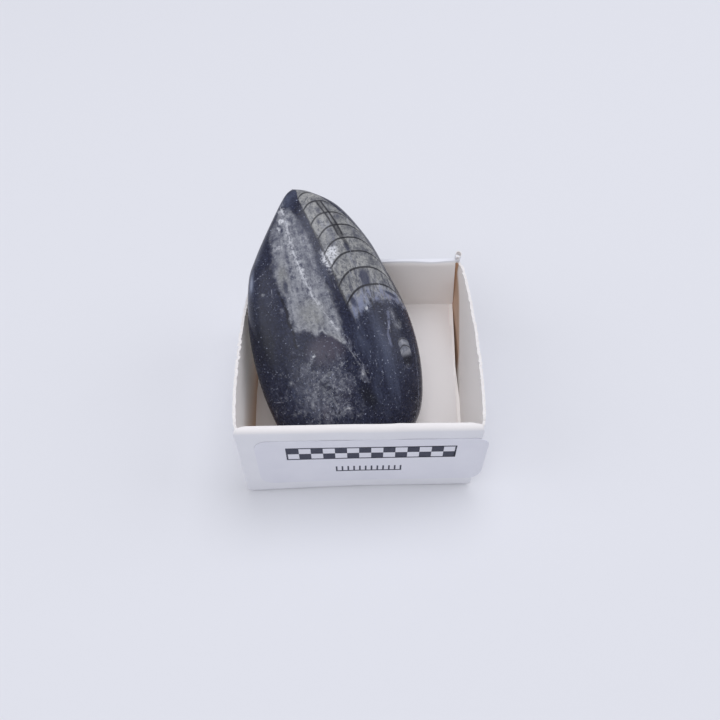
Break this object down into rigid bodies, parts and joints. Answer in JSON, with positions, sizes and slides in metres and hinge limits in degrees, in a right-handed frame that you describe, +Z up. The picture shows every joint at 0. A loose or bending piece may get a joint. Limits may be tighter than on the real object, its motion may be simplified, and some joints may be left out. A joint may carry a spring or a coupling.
{
  "type": "orthoceras fossil",
  "caption": "Polished, domed teardrop of dark limestone showing a straight-shelled fossil in section, leaning in a small square folded-card specimen tray with a label on its front.",
  "frame": {"origin": "centre of the card tray's flat underside", "axes": "+Z up; -Y towards the labelled front; +X towards the viewer's right when looking at the labelled front"},
  "size_m": [0.0421, 0.0448, 0.0318],
  "materials": {
    "fossil_stone": "polished near-black limestone with grey calcite fossil sections",
    "card_tray": "white clay-coated box card with raw fibrous cut edges",
    "label": "smooth coated adhesive label with dark printed markings"
  },
  "bodies": {
    "root": {"fossil_stone": "fossil_stone", "card_tray": "card_tray", "label": "label"}
  },
  "joints": []
}
